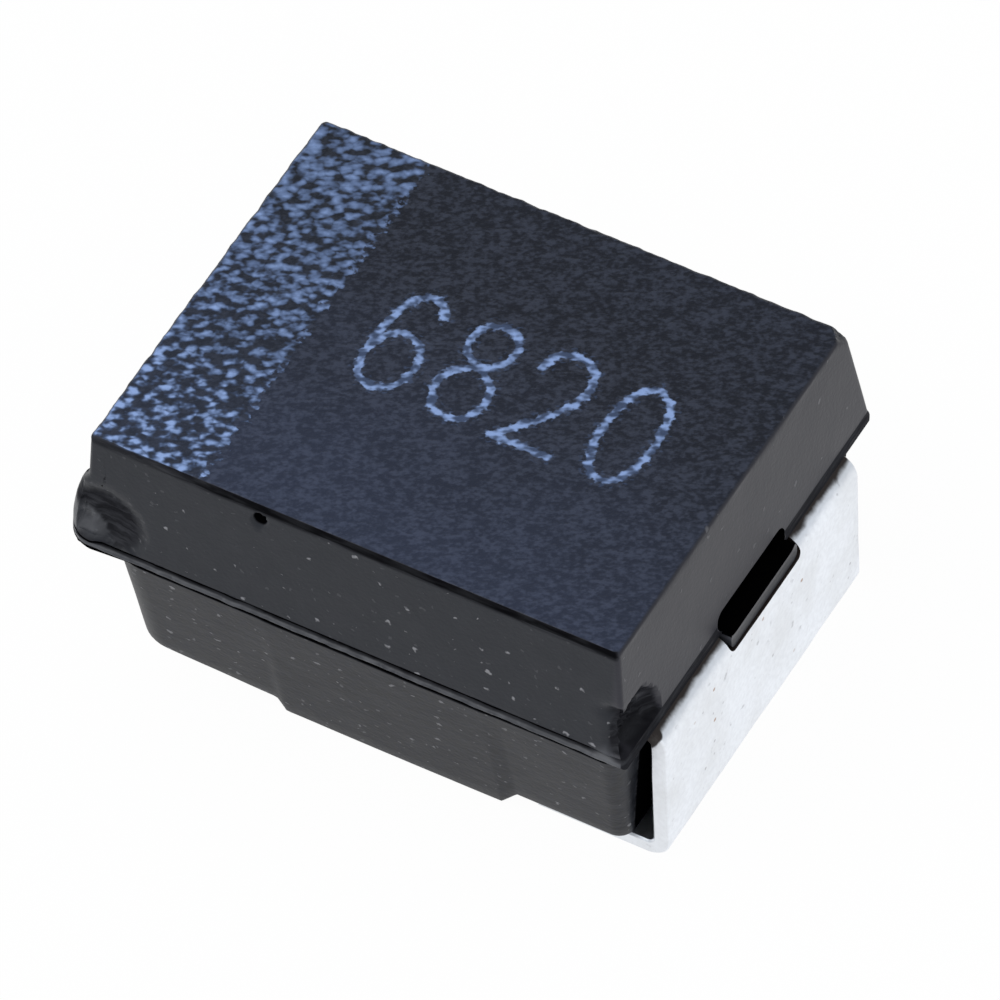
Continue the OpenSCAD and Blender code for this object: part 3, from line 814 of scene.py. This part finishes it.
anode_path = [(ANODE_TAB_X, TAB_Z, math.pi)]
go(anode_path, ANODE_TAB_X - ANODE_BEND_X)
fold(anode_path, 90 + math.degrees(LEAN))
go(anode_path, (LEG_TOP - LEG_BOTTOM) / math.cos(LEAN))
fold(anode_path, 90 - math.degrees(LEAN))
go(anode_path, ANODE_FOOT_X - anode_path[-1][0])
anode = folded_sheet("anode_strip", anode_path,
                     lambda x, z: TERMINAL_HALF_WIDTH if x < -1.36 or z < 0.9 else TAB_HALF_WIDTH)
stamp_slot(anode, -2.0, -1.395)

# Dull bright tin with stains and pits, bare at the cut edges; painted dark reflection atop the bend,
# painted shade in the slot
tin = Finish("tinned_sheet")
spot = tin.place()
along_x = tin.add("SeparateXYZ", {}, {0: spot}, "X")
along_y = along_x.other("Y")
along_z = along_x.other("Z")
cloud = tin.noise(spot, 2.2, 3.0)
fine = tin.noise(spot, 30.0, 3.0)
pits = tin.noise(spot, 11.0, 3.0)
edges = tin.value("raw_and_shade").most(tin.value("cut"))
colour = tin.mix(cloud.rise(0.35, 0.7), (0.90, 0.94, 1.0, 1), (0.80, 0.83, 0.87, 1))
colour = tin.mix(fine.rise(0.3, 0.7) * 0.3, colour, (0.70, 0.72, 0.76, 1))
colour = tin.mix(pits.rise(0.66, 0.76) * 0.5, colour, (0.36, 0.37, 0.40, 1))
cells = tin.cells(tin.add("CombineXYZ", {}, {"X": along_y, "Y": along_z, "Z": 0.0}), 9.0)
chance = tin.chance(cells)
stains = ((chance - 0.45) * 0.28 + (fine - 0.5) * 0.12 - cells).rise(0.0, 0.09) * cloud.rise(0.40, 0.58)
colour = tin.mix(stains * 0.6, colour, (0.30, 0.30, 0.33, 1))
colour = tin.mix(stains * chance.rise(0.93, 0.94) * 0.8, colour, (0.42, 0.22, 0.12, 1))
colour = tin.mix(edges.rise(0.0, 0.4) * 0.25, colour, (0.5, 0.5, 0.51, 1))
# Painted dark reflection of the case over the top of the bend, lower near the front corner; the slot's
# cut faces get it too as painted shade, and it is no metal
low_corner = (-1.05 - along_y).rise(0.0, 0.04) * (1.8 - along_x).rise(0.0, 0.09) * 0.12
painted_dark_on_tin = (along_z + (pits - 0.5) * 0.03 + low_corner - (JOINT - 0.034)).rise(-0.010, 0.016)
painted_dark_on_tin = painted_dark_on_tin.most(edges.rise(0.5, 0.8))
colour = tin.mix(painted_dark_on_tin, colour, (0.022, 0.016, 0.014, 1))
tin_normal = tin.add("Bump", {}, {"Strength": 0.35, "Distance": 0.00001, "Height": fine * 0.6 + cloud})
tin_surface = tin.add("BsdfPrincipled", {}, {
    "Base Color": colour, "Metallic": 1 - painted_dark_on_tin, "Roughness": fine * 0.2 + 0.27,
    "Specular IOR Level": 0.25, "Normal": tin_normal})
tin_material = tin.done(tin_surface)
for strip, node in [(cathode, "cathode_terminal"), (anode, "anode_terminal")]:
    strip.data.materials.clear()
    strip.data.materials.append(tin_material)
    strip.data.shade_smooth()
    strip.data.set_sharp_from_angle(angle=math.radians(35))
    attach(strip, "root")
    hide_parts(node)


# Pellet, wire, washer and coats
# They lie sealed in the epoxy. Their solids from the frame are right, and get their finishes here.
def inner_finish(name, light, dark, roughness, metallic, scale):
    finish = Finish(name)
    place = finish.place()
    lumps = finish.noise(place, scale, 4.0)
    shade = finish.mix(lumps.rise(0.35, 0.65), (*dark, 1), (*light, 1))
    normal = finish.add("Bump", {}, {"Strength": 0.6, "Distance": 0.00001, "Height": lumps})
    return finish.done(finish.add("BsdfPrincipled", {}, {
        "Base Color": shade, "Roughness": roughness, "Metallic": metallic, "Normal": normal}))


for node, light, dark, roughness, metallic, scale in [
        ("tantalum_pellet", (0.16, 0.16, 0.17), (0.07, 0.07, 0.08), 0.85, 0.3, 60.0),
        ("tantalum_wire", (0.42, 0.42, 0.45), (0.30, 0.30, 0.33), 0.35, 1.0, 25.0),
        ("insulating_washer", (0.82, 0.82, 0.80), (0.70, 0.70, 0.69), 0.5, 0.0, 12.0),
        ("manganese_dioxide_coat", (0.022, 0.018, 0.015), (0.008, 0.007, 0.006), 0.8, 0.0, 45.0),
        ("graphite_coat", (0.05, 0.05, 0.052), (0.02, 0.02, 0.021), 0.55, 0.2, 35.0),
        ("silver_coat", (0.62, 0.61, 0.58), (0.45, 0.44, 0.42), 0.5, 0.8, 40.0),
        ("silver_adhesive", (0.55, 0.54, 0.52), (0.38, 0.37, 0.36), 0.45, 0.8, 30.0)]:
    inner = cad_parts[node]
    finish = inner_finish(node, light, dark, roughness, metallic, scale)
    for holder in inner.material_slots:
        holder.material = finish


# Floor, lamps and world
# A pale sheet under plain soft light: camera and mirror rays see it white, with the part's soft shadow.
floor_mesh = bpy.data.meshes.new("floor")
floor_mesh.from_pydata([(-2, -2, 0), (2, -2, 0), (2, 2, 0), (-2, 2, 0)], [], [(0, 1, 2, 3)])
floor = new_object("floor", floor_mesh)
paper = Finish("paper")
rays = paper.add("LightPath", {}, {}, "Is Camera Ray")
seen = rays.most(rays.other("Is Glossy Ray")).most(rays.other("Is Transmission Ray"))
matt = paper.add("BsdfDiffuse", {}, {"Color": (0.9, 0.9, 0.9, 1)})
white = paper.add("Emission", {}, {"Color": (1, 1, 1, 1), "Strength": 1.0})
floor.data.materials.append(paper.done(paper.add("MixShader", {}, {0: seen * 0.97, 1: matt, 2: white})))

sky = Finish("sky", bpy.data.worlds.new("sky"))
rays = sky.add("LightPath", {}, {}, "Is Camera Ray")
dim = sky.add("Background", {}, {"Color": (0.93, 0.96, 1, 1), "Strength": 0.7})
bright_sky = sky.add("Background", {}, {"Color": (1, 1, 1, 1), "Strength": 1.0})
bpy.context.scene.world = sky.done(sky.add("MixShader", {}, {0: rays, 1: dim, 2: bright_sky}))


def lamp(name, place, size, level):
    """Square soft lamp that faces the part and alone would light a facing white sheet to a level."""
    data = bpy.data.lights.new(name, "AREA")
    data.size = size
    distance = Vector(place).length
    data.energy = level * math.pi * math.pi * distance ** 2
    light = new_object(name, data)
    light.location = place
    light.rotation_euler = Vector(place).to_track_quat("Z", "Y").to_euler()


lamp("key", (-0.25, -0.2, 0.45), 0.35, 0.35)
lamp("fill", (0.4, -0.35, 0.3), 0.4, 0.15)
